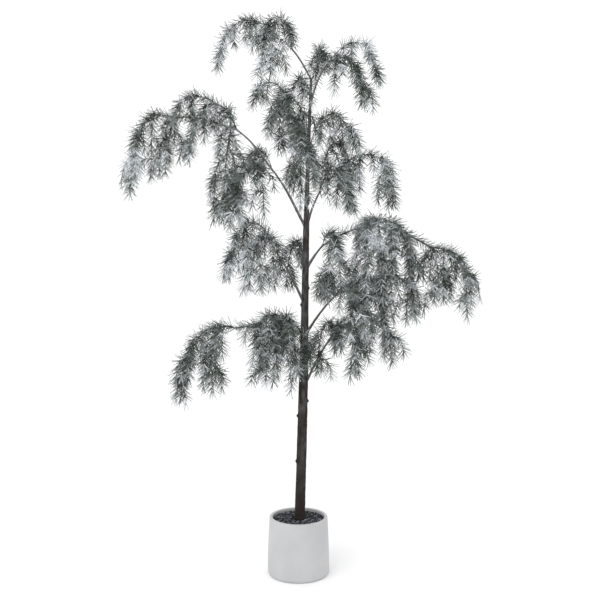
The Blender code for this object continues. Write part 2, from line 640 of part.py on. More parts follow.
def drop_scraps(piece):
    """Removes any loose scrap that the joining left beside the main body."""
    bm = bmesh.new()
    bm.from_mesh(piece.data)
    waiting = set(bm.verts)
    bodies = []
    while waiting:
        front = [waiting.pop()]
        body = set(front)
        while front:
            for edge in front.pop().link_edges:
                for vertex in edge.verts:
                    if vertex in waiting:
                        waiting.remove(vertex)
                        body.add(vertex)
                        front.append(vertex)
        bodies.append(body)
    bodies.sort(key=len)
    for body in bodies[:-1]:
        bmesh.ops.delete(bm, geom=list(body), context="VERTS")
    bm.to_mesh(piece.data)
    bm.free()


def build():
    """Builds the pot, the filling, the trunk, the boughs and the masses of foliage."""
    for old in list(bpy.data.objects):
        bpy.data.objects.remove(old, do_unlink=True)
    make_pot()
    make_fill()
    vertices, faces = trunk_tube(0.0)
    add_piece("trunk", vertices, faces, "trunk_bark")
    limbs, shoots = grow_skeleton()
    shoots = drop_crowded(limbs, shoots)
    vertices, faces = trunk_tube(GAP + 0.0001)
    cutter = add_piece("trunk_clearance", vertices, faces, "trunk_bark")
    for name, path in limbs.items():
        make_limb(name, path, cutter)
    bpy.data.objects.remove(cutter, do_unlink=True)
    heights = np.arange(TRUNK_FOOT, TRUNK_TOP + 0.004, SAMPLE_STEP)
    line = np.array([trunk_centre(h) for h in heights])
    trunk = (line, np.array([trunk_radius(h) for h in heights]))
    for number, name in enumerate(MASSES):
        make_mass(number, name, shoots, limbs, trunk)


build()
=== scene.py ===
"""Potted artificial weeping pine, 2.10 m tall: a slim dark trunk in bark chips in a round white pot,
rising boughs, and drooping foxtail shoots with frosted needles."""
import math
import random
from collections import namedtuple

import bpy
import numpy as np
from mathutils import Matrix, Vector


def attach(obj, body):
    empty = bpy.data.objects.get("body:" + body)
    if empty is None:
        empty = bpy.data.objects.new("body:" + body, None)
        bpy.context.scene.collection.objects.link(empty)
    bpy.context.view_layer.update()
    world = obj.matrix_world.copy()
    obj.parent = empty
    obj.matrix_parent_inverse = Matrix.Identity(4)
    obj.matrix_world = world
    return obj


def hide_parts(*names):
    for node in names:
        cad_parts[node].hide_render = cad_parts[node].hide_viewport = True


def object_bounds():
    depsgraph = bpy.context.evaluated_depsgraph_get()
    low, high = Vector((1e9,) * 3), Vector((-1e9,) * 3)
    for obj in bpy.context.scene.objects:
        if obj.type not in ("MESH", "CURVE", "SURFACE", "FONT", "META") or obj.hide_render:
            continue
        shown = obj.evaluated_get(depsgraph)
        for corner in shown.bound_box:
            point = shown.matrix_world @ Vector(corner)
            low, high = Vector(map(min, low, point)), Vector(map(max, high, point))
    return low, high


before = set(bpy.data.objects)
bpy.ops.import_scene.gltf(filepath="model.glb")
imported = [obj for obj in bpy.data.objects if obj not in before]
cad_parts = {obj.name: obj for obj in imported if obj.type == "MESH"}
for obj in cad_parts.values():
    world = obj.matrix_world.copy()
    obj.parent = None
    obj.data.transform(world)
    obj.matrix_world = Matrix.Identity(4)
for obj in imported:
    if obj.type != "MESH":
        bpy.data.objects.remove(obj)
cad_box = [list(corner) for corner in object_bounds()]

# Camera, floor and light
# A pale studio floor that runs off into a white background, even light from all round and one
# large soft lamp up to the left. The camera is level, 2.9 m in front of the trunk.
EYE = (0.0056, -2.9, 1.13)
FLOOR_REACH = 400.0
LAMP_PLACE = (-1.8, -2.6, 3.6)
scene = bpy.context.scene

camera_data = bpy.data.cameras.new("camera")
camera_data.lens = 46.5
camera_data.sensor_width = 36.0
camera_data.shift_y = -0.0502
camera = bpy.data.objects.new("camera", camera_data)
camera.location = EYE
camera.rotation_euler = (math.radians(90), 0.0, 0.0)
scene.collection.objects.link(camera)
scene.camera = camera

scene.world = bpy.data.worlds.new("studio")
scene.world.use_nodes = True
backdrop = scene.world.node_tree.nodes["Background"]
backdrop.inputs["Color"].default_value = (1.0, 1.0, 1.0, 1.0)
backdrop.inputs["Strength"].default_value = 1.05
scene.view_settings.view_transform = "Standard"

lamp_data = bpy.data.lights.new("soft_lamp", "AREA")
lamp_data.energy = 55.0
lamp_data.size = 3.0
lamp = bpy.data.objects.new("soft_lamp", lamp_data)
lamp.location = LAMP_PLACE
lamp.rotation_euler = (math.radians(48), 0.0, math.radians(-35))
scene.collection.objects.link(lamp)


def plain_material(name, colour, roughness):
    """A Principled material with one base colour and one roughness."""
    material = bpy.data.materials.new(name)
    material.use_nodes = True
    shader = material.node_tree.nodes["Principled BSDF"]
    shader.inputs["Base Color"].default_value = (*colour, 1.0)
    shader.inputs["Roughness"].default_value = roughness
    return material


floor_corners = [(x * FLOOR_REACH, y * FLOOR_REACH, 0) for x, y in ((-1, -1), (1, -1), (1, 1), (-1, 1))]
floor_mesh = bpy.data.meshes.new("floor")
floor_mesh.from_pydata(floor_corners, [], [(0, 1, 2, 3)])
floor_mesh.materials.append(plain_material("floor_paper", (0.97, 0.97, 0.97), 0.9))
floor = bpy.data.objects.new("floor", floor_mesh)
scene.collection.objects.link(floor)


# Pot
# Straight round planter, cast and matt glazed in a pale grey white: 229 mm across its base, 217 mm
# across the rim and 210 mm tall, the wall 11.6 mm with softly rounded edges.
POT_BASE_RADIUS = 0.1145
POT_RIM_RADIUS = 0.1086
POT_INNER_RADIUS = 0.0970
POT_HEIGHT = 0.2102
POT_FLOOR = 0.0220
POT_MIDDLE = 0.0020
POT_STEPS = 160


def solid_mesh(name, vertices, face_sets, smooth, tones=None):
    """An object from whole arrays: vertices, and sets of faces with equal numbers of corners in each."""
    loops = np.concatenate([faces.ravel() for faces in face_sets])
    totals = np.concatenate([np.full(len(faces), faces.shape[1]) for faces in face_sets])
    starts = np.concatenate([[0], np.cumsum(totals)[:-1]])
    mesh = bpy.data.meshes.new(name)
    mesh.vertices.add(len(vertices))
    mesh.vertices.foreach_set("co", np.ascontiguousarray(vertices, dtype=np.float32).ravel())
    mesh.loops.add(len(loops))
    mesh.loops.foreach_set("vertex_index", loops.astype(np.int32))
    mesh.polygons.add(len(totals))
    mesh.polygons.foreach_set("loop_start", starts.astype(np.int32))
    mesh.polygons.foreach_set("loop_total", totals.astype(np.int32))
    if tones is not None:
        mesh.polygons.foreach_set("material_index", tones.astype(np.int32))
    mesh.polygons.foreach_set("use_smooth", np.full(len(totals), smooth))
    mesh.update(calc_edges=True)
    piece = bpy.data.objects.new(name, mesh)
    scene.collection.objects.link(piece)
    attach(piece, "root")
    return piece


def joined_skins(name, skins, smooth=True):
    """One object from closed skins, each given as points[ring, step].

    Four-cornered faces run between neighbouring rings, and each ring closes on itself. A fan about
    the mean point of the first ring and one about that of the last ring close the two ends.
    """
    vertices, walls, fans, first = [], [], [], 0
    for points in skins:
        rings, steps = points.shape[:2]
        ring, step = np.meshgrid(np.arange(rings - 1), np.arange(steps), indexing="ij")
        low = ring * steps + step
        after = ring * steps + (step + 1) % steps
        walls.append(first + np.stack([low, after, after + steps, low + steps], axis=-1).reshape(-1, 4))
        turn = np.arange(steps)
        after = (turn + 1) % steps
        last = (rings - 1) * steps
        foot, tip = np.full(steps, rings * steps), np.full(steps, rings * steps + 1)
        fans.append(first + np.stack([foot, after, turn], axis=-1))
        fans.append(first + np.stack([tip, last + turn, last + after], axis=-1))
        ends = np.stack([points[0].mean(axis=0), points[-1].mean(axis=0)])
        vertices.append(np.concatenate([points.reshape(-1, 3), ends]))
        first += rings * steps + 2
    return solid_mesh(name, np.concatenate(vertices), [np.concatenate(walls), np.concatenate(fans)], smooth)


def lathed(profile, steps):
    """points[ring, step] of a profile of (radius, height) pairs turned about the Z axis."""
    turn = np.linspace(0.0, 2.0 * math.pi, steps, endpoint=False)
    radius, height = profile[:, :1], np.repeat(profile[:, 1:], steps, axis=1)
    return np.stack([radius * np.cos(turn), radius * np.sin(turn), height], axis=-1)


def rounded(line, passes):
    """A line with its corners cut again and again, at a quarter and three quarters of each edge."""
    for _ in range(passes):
        low, high = line[:-1], line[1:]
        cuts = np.stack([0.75 * low + 0.25 * high, 0.25 * low + 0.75 * high], axis=1)
        line = np.concatenate([line[:1], cuts.reshape(-1, line.shape[1]), line[-1:]])
    return line


outline = np.array([
    (POT_MIDDLE, 0.0),
    (0.0600, 0.0),
    (0.1060, 0.0),
    (POT_BASE_RADIUS - 0.0017, 0.0030),
    (POT_BASE_RADIUS, 0.0120),
    (POT_BASE_RADIUS - 0.0005, 0.0700),
    (POT_BASE_RADIUS - 0.0025, 0.1400),
    (POT_RIM_RADIUS, 0.2030),
    (POT_RIM_RADIUS - 0.0002, POT_HEIGHT - 0.0004),
    (0.1028, POT_HEIGHT),
    (POT_INNER_RADIUS + 0.0002, POT_HEIGHT - 0.0004),
    (POT_INNER_RADIUS, 0.2030),
    (POT_INNER_RADIUS, 0.1400),
    (POT_INNER_RADIUS, 0.0300),
    (POT_INNER_RADIUS - 0.0010, POT_FLOOR),
    (0.0500, POT_FLOOR),
    (POT_MIDDLE, POT_FLOOR),
])
pot = joined_skins("pot_body", [lathed(rounded(outline, 3), POT_STEPS)])


def pot_glaze():
    """Pale glaze with broad faint clouds in its colour and a fine sandy bump."""
    material = plain_material("pot_glaze", (0.49, 0.49, 0.50), 0.5)
    nodes, links = material.node_tree.nodes, material.node_tree.links
    shader = nodes["Principled BSDF"]
    place = nodes.new("ShaderNodeTexCoord")
    cloud = nodes.new("ShaderNodeTexNoise")
    cloud.inputs["Scale"].default_value = 9.0
    cloud.inputs["Detail"].default_value = 4.0
    sand = nodes.new("ShaderNodeTexNoise")
    sand.inputs["Scale"].default_value = 420.0
    shade = nodes.new("ShaderNodeValToRGB")
    shade.color_ramp.elements[0].position = 0.30
    shade.color_ramp.elements[0].color = (0.455, 0.460, 0.472, 1.0)
    shade.color_ramp.elements[1].position = 0.70
    shade.color_ramp.elements[1].color = (0.520, 0.520, 0.528, 1.0)
    bump = nodes.new("ShaderNodeBump")
    bump.inputs["Strength"].default_value = 0.25
    bump.inputs["Distance"].default_value = 0.0004
    links.new(place.outputs["Object"], cloud.inputs["Vector"])
    links.new(place.outputs["Object"], sand.inputs["Vector"])
    links.new(cloud.outputs["Fac"], shade.inputs["Fac"])
    links.new(shade.outputs["Color"], shader.inputs["Base Color"])
    links.new(sand.outputs["Fac"], bump.inputs["Height"])
    links.new(bump.outputs["Normal"], shader.inputs["Normal"])
    return material


pot.data.materials.append(pot_glaze())
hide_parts("pot")


# Bark chips
# A bed of shredded bark, near black, about 10 mm under the pot's rim. On it lie
# 950 flat broken chips, 4 to 21 mm long, at all angles, some of them pale bluish grey as painted highlights.
FILL_LEVEL = 0.2005
BED_SINK = 0.0022
BED_RADIUS = 0.0966
BED_DEPTH = 0.1780
BED_STEPS = 120
BED_RINGS = 40
CHIP_COUNT = 950
CHIP_REACH = (0.033, 0.0875)
# The third tone, a pale bluish grey, is a painted highlight dealt to some of the near-black chips.
CHIP_TONES = [(0.010, 0.010, 0.012), (0.036, 0.038, 0.046), (0.150, 0.168, 0.205), (0.026, 0.022, 0.021)]

chance = np.random.default_rng(7)
bed_top = FILL_LEVEL - BED_SINK
bed_radii = np.concatenate([
    [0.0008, BED_RADIUS - 0.0086, BED_RADIUS, BED_RADIUS],
    np.linspace(BED_RADIUS - 0.0011, 0.0008, BED_RINGS),
])
bed_heights = np.concatenate([
    [bed_top - BED_DEPTH, bed_top - BED_DEPTH, bed_top - BED_DEPTH + 0.0180],
    np.full(BED_RINGS + 1, bed_top),
])
bed_points = lathed(np.stack([bed_radii, bed_heights], axis=-1), BED_STEPS)
bed_points[5:-1, :, 2] += chance.uniform(-0.0016, 0.0012, bed_points[5:-1, :, 2].shape)
bed = joined_skins("chip_bed", [bed_points], smooth=False)


def spun(a, b, angle):
    """Two of the three coordinates of every chip's corners, turned by that chip's angle."""
    cosine, sine = np.cos(angle)[:, None], np.sin(angle)[:, None]
    return a * cosine - b * sine, a * sine + b * cosine


def chip_heap(count, reach, chance):
    """Vertices, sides and ends of six-sided broken flakes.

    A flake is two hexagons, the upper one 0.78 as wide, with each corner moved in or out. It is
    scaled to its own length, width and thickness, tilted both ways, turned, and laid evenly over
    the ring between the two radii of reach.
    """
    corner = np.arange(6) * math.pi / 3
    ring = np.stack([np.cos(corner), np.sin(corner), np.zeros(6)], axis=-1)
    shape = np.concatenate([ring - [0, 0, 0.5], 0.78 * ring + [0, 0, 0.5]])
    shape = shape[None] * chance.uniform(0.72, 1.25, (count, 12, 1))
    half_length = chance.uniform(0.0030, 0.0085, count)
    half_width = chance.uniform(0.0018, 0.0042, count)
    thickness = chance.uniform(0.0010, 0.0028, count)
    shape = shape * np.stack([half_length, half_width, thickness], axis=-1)[:, None]
    yaw = chance.uniform(0, 2 * math.pi, count)
    tilt = chance.normal(0, 0.35, count)
    roll = chance.normal(0, 0.35, count)
    y, z = spun(shape[..., 1], shape[..., 2], roll)
    x, z = spun(shape[..., 0], z, tilt)
    x, y = spun(x, y, yaw)
    out = np.sqrt(chance.uniform(reach[0] ** 2, reach[1] ** 2, count))
    around = chance.uniform(0, 2 * math.pi, count)
    x = x + (out * np.cos(around))[:, None]
    y = y + (out * np.sin(around))[:, None]
    z = z + chance.uniform(FILL_LEVEL - 0.0015, FILL_LEVEL + 0.0025, count)[:, None]
    first = 12 * np.arange(count)[:, None, None]
    step = np.arange(6)
    after = (step + 1) % 6
    sides = np.stack([step, after, after + 6, step + 6], axis=-1)[None] + first
    ends = np.array([step[::-1], step + 6])[None] + first
    return np.stack([x, y, z], axis=-1).reshape(-1, 3), sides.reshape(-1, 4), ends.reshape(-1, 6)


chip_corners, chip_sides, chip_ends = chip_heap(CHIP_COUNT, CHIP_REACH, chance)
tones = chance.integers(0, len(CHIP_TONES), CHIP_COUNT)
face_tones = np.concatenate([np.repeat(tones, 6), np.repeat(tones, 2)])
chips = solid_mesh("chips", chip_corners, [chip_sides, chip_ends], False, face_tones)


def chip_grain():
    """Node group: a bark colour times 0.6 to 1.5, as a fine noise rises from 0 to 1."""
    group = bpy.data.node_groups.new("chip_grain", "ShaderNodeTree")
    group.interface.new_socket("Chip Color", in_out="INPUT", socket_type="NodeSocketColor")
    group.interface.new_socket("Base Color", in_out="OUTPUT", socket_type="NodeSocketColor")
    nodes, links = group.nodes, group.links
    entry, leave = nodes.new("NodeGroupInput"), nodes.new("NodeGroupOutput")
    place, grain = nodes.new("ShaderNodeTexCoord"), nodes.new("ShaderNodeTexNoise")
    grain.inputs["Scale"].default_value = 240.0
    light = nodes.new("ShaderNodeMath")
    light.operation = "MULTIPLY_ADD"
    light.inputs[1].default_value = 0.9
    light.inputs[2].default_value = 0.6
    bark = nodes.new("ShaderNodeVectorMath")
    bark.operation = "SCALE"
    links.new(place.outputs["Object"], grain.inputs["Vector"])
    links.new(grain.outputs["Fac"], light.inputs[0])
    links.new(entry.outputs["Chip Color"], bark.inputs[0])
    links.new(light.outputs["Value"], bark.inputs["Scale"])
    links.new(bark.outputs["Vector"], leave.inputs["Base Color"])
    return group


grain_group = chip_grain()
# One material for each chip tone; the third is the painted highlight tone.
for order, tone in enumerate(CHIP_TONES):
    chip_bark_and_highlight = plain_material(f"chip_bark_and_highlight_{order + 1}", tone, 0.85)
    surface = chip_bark_and_highlight.node_tree.nodes.new("ShaderNodeGroup")
    surface.node_tree = grain_group
    surface.inputs["Chip Color"].default_value = (*tone, 1.0)
    shader = chip_bark_and_highlight.node_tree.nodes["Principled BSDF"]
    chip_bark_and_highlight.node_tree.links.new(surface.outputs["Base Color"], shader.inputs["Base Color"])
    chips.data.materials.append(chip_bark_and_highlight)
bed.data.materials.append(chips.data.materials[0])
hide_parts("bark_chip_fill")


# Trunk
# A slim moulded trunk with a bark skin: 1.64 m from the chips to the fork, 49 mm across its flare,
# 38 mm over the pot and 10 mm at the top. Near-black brown with ridges that run up it, the stubs of
# cut boughs, and a dusting of frost that grows towards the crown.
GAP = 0.0003
TRUNK_FOOT = FILL_LEVEL + GAP
TRUNK_TOP = 1.842
TRUNK_LEAN = 0.040
TRUNK_RINGS = 700
TRUNK_STEPS = 64
RIDGE_SHARE = 0.045
TRUNK_GIRTH = [
    (0.2005, 0.0245),
    (0.213, 0.0205),
    (0.235, 0.0192),
    (0.300, 0.0188),
    (0.500, 0.0184),
    (0.690, 0.0172),
    (0.870, 0.0152),
    (1.050, 0.0132),
    (1.290, 0.0115),
    (1.400, 0.0088),
    (1.620, 0.0062),
    (1.842, 0.0048),
]
# height, heading in degrees and how far the stub stands out
STUBS = [
    (0.584, 195, 0.0065),
    (0.415, 200, 0.0055),
    (0.640, 335, 0.0075),
    (0.999, 190, 0.0050),
    (1.062, 345, 0.0050),
    (0.300, 250, 0.0030),
    (0.760, 70, 0.0050),
    (0.500, 120, 0.0040),
]
STUB_HEIGHT = 0.0055
STUB_SPREAD = 20.0
TRUNK_BARK = (0.019, 0.0135, 0.0115)
TRUNK_FROST = (0.20, 0.20, 0.20)
UP = np.array([0.0, 0.0, 1.0])


def unit(vector):
    """The vector divided by its length."""
    return vector / np.linalg.norm(vector)


def towards(heading, pitch):
    """A unit vector at a heading in plan and a pitch above the level."""
    turn = math.radians(heading)
    lift = math.radians(pitch)
    return np.array([math.cos(turn) * math.cos(lift), math.sin(turn) * math.cos(lift), math.sin(lift)])


def bezier(a, b, c, d, count=40):
    """A cubic curve from a to d that leaves towards b and arrives from c."""
    t = np.linspace(0.0, 1.0, count)[:, None]
    return (1 - t) ** 3 * a + 3 * (1 - t) ** 2 * t * b + 3 * (1 - t) * t * t * c + t ** 3 * d


def spaced(points, step):
    """The same path in equal steps of about the given length."""
    run = np.concatenate([[0.0], np.cumsum(np.linalg.norm(np.diff(points, axis=0), axis=1))])
    count = max(2, int(round(run[-1] / step))) + 1
    marks = np.linspace(0.0, run[-1], count)
    return np.stack([np.interp(marks, run, points[:, axis]) for axis in range(3)], axis=1)


def point_along(points, share):
    """The point that lies a share of the way along a path."""
    run = np.concatenate([[0.0], np.cumsum(np.linalg.norm(np.diff(points, axis=0), axis=1))])
    return np.array([np.interp(share * run[-1], run, points[:, axis]) for axis in range(3)])


def trunk_centre(height):
    """The middle of the trunk at a height: a straight lean with a slight double bend."""
    t = (height - FILL_LEVEL) / (TRUNK_TOP - FILL_LEVEL)
    x = 0.005 + TRUNK_LEAN * t + 0.004 * math.sin(2.2 * math.pi * t) * t
    y = 0.006 * math.sin(1.6 * math.pi * t)
    return np.array([x, y, height])


def trunk_radius(height):
    """The trunk's radius at a height, read between the named girths."""
    heights, radii = zip(*TRUNK_GIRTH)
    return float(np.interp(height, heights, radii))


def lattice_noise(u, v, cells_u, cells_v, seed):
    """Smooth noise from -1 to 1: random heights on a lattice, blended by a cosine, closed over u."""
    heights = np.random.default_rng(seed).uniform(-1.0, 1.0, (cells_u, cells_v + 2))
    x, y = (u % 1.0) * cells_u, np.clip(v, 0.0, 1.0) * cells_v
    i, j = np.floor(x).astype(int), np.floor(y).astype(int)
    s, t = 0.5 - 0.5 * np.cos(math.pi * (x - i)), 0.5 - 0.5 * np.cos(math.pi * (y - j))
    i, near = i % cells_u, (i + 1) % cells_u
    low = heights[i, j] * (1 - s) + heights[near, j] * s
    high = heights[i, j + 1] * (1 - s) + heights[near, j + 1] * s
    return low * (1 - t) + high * t


def bark_relief(u, v, seed):
    """How far the bark stands out, about -1 to 1: long ridges with narrow furrows, and a finer crackle."""
    drift = 0.05 * lattice_noise(u, v, 5, 40, seed)
    ridge = 1.0 - 2.2 * np.abs(lattice_noise(u + drift, v, 11, 46, seed + 1))
    return 0.65 * ridge + 0.35 * lattice_noise(u, v, 30, 260, seed + 2)


def trunk_skin(u, v):
    """The trunk's points: its lean and girth at each height, times the bark relief.

    A stub adds a bell-shaped swelling, and five shallow root lobes fade out in the lowest 10 mm.
    """
    levels = TRUNK_FOOT + v[:, 0] * (TRUNK_TOP - TRUNK_FOOT)
    centres = np.array([trunk_centre(level) for level in levels])
    girths = np.array([trunk_radius(level) for level in levels])
    spread = girths[:, None] * (1.0 + RIDGE_SHARE * bark_relief(u, v, 11))
    for height, heading, length in STUBS:
        aside = (u * 360.0 - heading + 180.0) % 360.0 - 180.0
        above = levels[:, None] - height
        spread = spread + length * np.exp(-(above / STUB_HEIGHT) ** 2 - (aside / STUB_SPREAD) ** 2)
    lobes = 0.0012 * np.cos(5 * 2 * math.pi * u + 0.7)
    spread = spread + np.exp(-(levels[:, None] - TRUNK_FOOT) / 0.010) * lobes
    angle = 2.0 * math.pi * u
    ring = np.stack([spread * np.cos(angle), spread * np.sin(angle), np.zeros_like(u)], axis=-1)
    return centres[:, None] + ring, levels


def vertex_amount(piece, name, values):
    """Stores one number a vertex under a name for the material to read."""
    attribute = piece.data.attributes.new(name, "FLOAT", "POINT")
    attribute.data.foreach_set("value", np.ascontiguousarray(values, dtype=np.float32))


share_up = np.linspace(0.0, 1.0, TRUNK_RINGS)
share_round = np.linspace(0.0, 1.0, TRUNK_STEPS, endpoint=False)
v, u = np.meshgrid(share_up, share_round, indexing="ij")
trunk_points, levels = trunk_skin(u, v)
trunk = joined_skins("trunk_bark", [trunk_points])
dust = 0.06 + 0.24 * v + 0.30 * lattice_noise(u, v, 9, 60, 31) + 0.25 * bark_relief(u, v, 11)
dust = np.clip(dust, 0.0, 1.0) * np.clip((levels[:, None] - 0.25) / 0.5, 0.12, 1.0)
vertex_amount(trunk, "frost", np.concatenate([dust.ravel(), [0.1, 0.4]]))


def bark_surface():
    """Node group: dark bark with grain that runs along Z, whitened by an amount of frost.

    The bark colour is scaled by 0.35 to 1.65 with the grain. Frost covers it by the given amount
    times a fine noise, and the grain also sets the roughness and the bump's height.
    """
    group = bpy.data.node_groups.new("bark_surface", "ShaderNodeTree")
    for name, kind in (("Frost", "Float"), ("Bark Color", "Color"), ("Frost Color", "Color")):
        group.interface.new_socket(name, in_out="INPUT", socket_type="NodeSocket" + kind)
    for name, kind in (("Base Color", "Color"), ("Roughness", "Float"), ("Bump Height", "Float")):
        group.interface.new_socket(name, in_out="OUTPUT", socket_type="NodeSocket" + kind)
    nodes, links = group.nodes, group.links
    entry, leave = nodes.new("NodeGroupInput"), nodes.new("NodeGroupOutput")
    place, stretch = nodes.new("ShaderNodeTexCoord"), nodes.new("ShaderNodeMapping")
    stretch.inputs["Scale"].default_value = (1.0, 1.0, 0.28)
    grain, dust = nodes.new("ShaderNodeTexNoise"), nodes.new("ShaderNodeTexNoise")
    grain.inputs["Scale"].default_value = 260.0
    grain.inputs["Detail"].default_value = 5.0
    dust.inputs["Scale"].default_value = 520.0
    dust.inputs["Detail"].default_value = 3.0
    light = nodes.new("ShaderNodeMath")
    light.operation = "MULTIPLY_ADD"
    light.inputs[1].default_value = 1.3
    light.inputs[2].default_value = 0.35
    bark = nodes.new("ShaderNodeVectorMath")
    bark.operation = "SCALE"
    thicker = nodes.new("ShaderNodeMath")
    thicker.operation = "MULTIPLY"
    thicker.inputs[1].default_value = 1.9
    thicker.use_clamp = True
    amount = nodes.new("ShaderNodeMath")
    amount.operation = "MULTIPLY"
    blend = nodes.new("ShaderNodeMix")
    blend.data_type = "RGBA"
    rough = nodes.new("ShaderNodeMapRange")
    rough.inputs["To Min"].default_value = 0.62
    rough.inputs["To Max"].default_value = 0.95
    links.new(place.outputs["Object"], stretch.inputs["Vector"])
    links.new(stretch.outputs["Vector"], grain.inputs["Vector"])
    links.new(place.outputs["Object"], dust.inputs["Vector"])
    links.new(grain.outputs["Fac"], light.inputs[0])
    links.new(entry.outputs["Bark Color"], bark.inputs[0])
    links.new(light.outputs["Value"], bark.inputs["Scale"])
    links.new(entry.outputs["Frost"], amount.inputs[0])
    links.new(dust.outputs["Fac"], thicker.inputs[0])
    links.new(thicker.outputs["Value"], amount.inputs[1])
    links.new(amount.outputs["Value"], blend.inputs["Factor"])
    links.new(bark.outputs["Vector"], blend.inputs["A"])
    links.new(entry.outputs["Frost Color"], blend.inputs["B"])
    links.new(grain.outputs["Fac"], rough.inputs["Value"])
    links.new(blend.outputs["Result"], leave.inputs["Base Color"])
    links.new(rough.outputs["Result"], leave.inputs["Roughness"])
    links.new(grain.outputs["Fac"], leave.inputs["Bump Height"])
    return group


def bark_material(name, group, bark, frost):
    """A bark material that reads the piece's own frost amounts."""
    material = plain_material(name, bark, 0.8)
    nodes, links = material.node_tree.nodes, material.node_tree.links
    shader = nodes["Principled BSDF"]
    shader.inputs["Specular IOR Level"].default_value = 0.25
    surface = nodes.new("ShaderNodeGroup")
    surface.node_tree = group
    surface.inputs["Bark Color"].default_value = (*bark, 1.0)
    surface.inputs["Frost Color"].default_value = (*frost, 1.0)
    amount = nodes.new("ShaderNodeAttribute")
    amount.attribute_name = "frost"
    bump = nodes.new("ShaderNodeBump")
    bump.inputs["Strength"].default_value = 0.6
    bump.inputs["Distance"].default_value = 0.0008
    links.new(amount.outputs["Fac"], surface.inputs["Frost"])
    links.new(surface.outputs["Base Color"], shader.inputs["Base Color"])
    links.new(surface.outputs["Roughness"], shader.inputs["Roughness"])
    links.new(surface.outputs["Bump Height"], bump.inputs["Height"])
    links.new(bump.outputs["Normal"], shader.inputs["Normal"])
    return material


bark_group = bark_surface()
trunk.data.materials.append(bark_material("trunk_bark", bark_group, TRUNK_BARK, TRUNK_FROST))
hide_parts("trunk")


# Boughs
# Fifteen bark-wrapped wire boughs, 6 to 12 mm thick at their feet and 6 mm at their ends, each one
# rising curve. Each ends in a small swelling, where the next bough or the shoots leave it, so the
# way a bough sets off depends on the shoots that share its swelling.
KNOB_RADIUS = 0.0050
BOUGH_STEP = 0.045
SAMPLE_STEP = 0.005
BOUGH_END_RADIUS = 0.0030
BOUGH_RING_STEP = 0.003
BOUGH_STEPS = 16
# extra radius, and the distance over which it fades out
SWELLING = (0.0014, 0.007)
COLLAR = (0.0022, 0.016)
BOUGH_BARK = (0.050, 0.042, 0.038)
BOUGH_FROST = (0.42, 0.44, 0.46)

# foot is the height on the trunk, or the piece whose end it grows from. heading is in degrees
# from +X towards +Y. climb is how far the end lies above the foot. leave and arrive are the
# slopes of the two ends, thick is the radius of the foot.
Limb = namedtuple("Limb", "foot heading reach climb leave arrive thick")
LIMBS = {
    "bough_top_left": Limb("trunk", 167, 0.095, 0.135, 70, 40, 0.0038),
    "bough_top_right": Limb(1.75, 357, 0.065, 0.15, 72, 50, 0.004),
    "bough_upper_left": Limb(1.57, 143, 0.09, 0.165, 74, 55, 0.004),
    "bough_left": Limb(1.285, 188, 0.13, 0.22, 61, 50, 0.0058),
    "bough_left_far": Limb("bough_left", 171, 0.13, 0.145, 56, 35, 0.0036),
    "bough_left_outer": Limb("bough_left_far", 178, 0.23, 0.045, 30, -8, 0.003),
    "bough_right": Limb(1.27, 346, 0.055, 0.155, 80, 60, 0.005),
    "bough_mid_left": Limb(1.0, 197, 0.115, 0.2, 63, 52, 0.0054),
    "bough_big_right": Limb(1.13, 349, 0.065, 0.09, 56, 45, 0.006),
    "bough_big_right_far": Limb("bough_big_right", 3, 0.185, 0.07, 36, 2, 0.0038),
    "bough_big_right_outer": Limb("bough_big_right_far", 8, 0.215, -0.075, 0, -30, 0.0032),
    "bough_low_right": Limb(0.875, 325, 0.13, 0.155, 58, 42, 0.0056),
    "bough_low_left": Limb(0.705, 204, 0.1, 0.185, 70, 46, 0.0056),
    "bough_low_left_far": Limb("bough_low_left", 186, 0.155, 0.025, 32, -10, 0.0036),
    "bough_foot_right": Limb(0.685, 21, 0.12, 0.195, 62, 48, 0.0054),
}


def limb_path(start, away, limb):
    """A rising bough: one cubic curve between its two end slopes."""
    end = start + limb.reach * towards(limb.heading, 0) + limb.climb * UP
    handle = 0.36 * np.linalg.norm(end - start)
    curve = bezier(start, start + handle * away, end - handle * towards(limb.heading, limb.arrive), end)
    return spaced(curve, SAMPLE_STEP)


CORE_ROOT = 0.0012
WHORL_STEP = 0.046
FOOT_STEP = 0.015

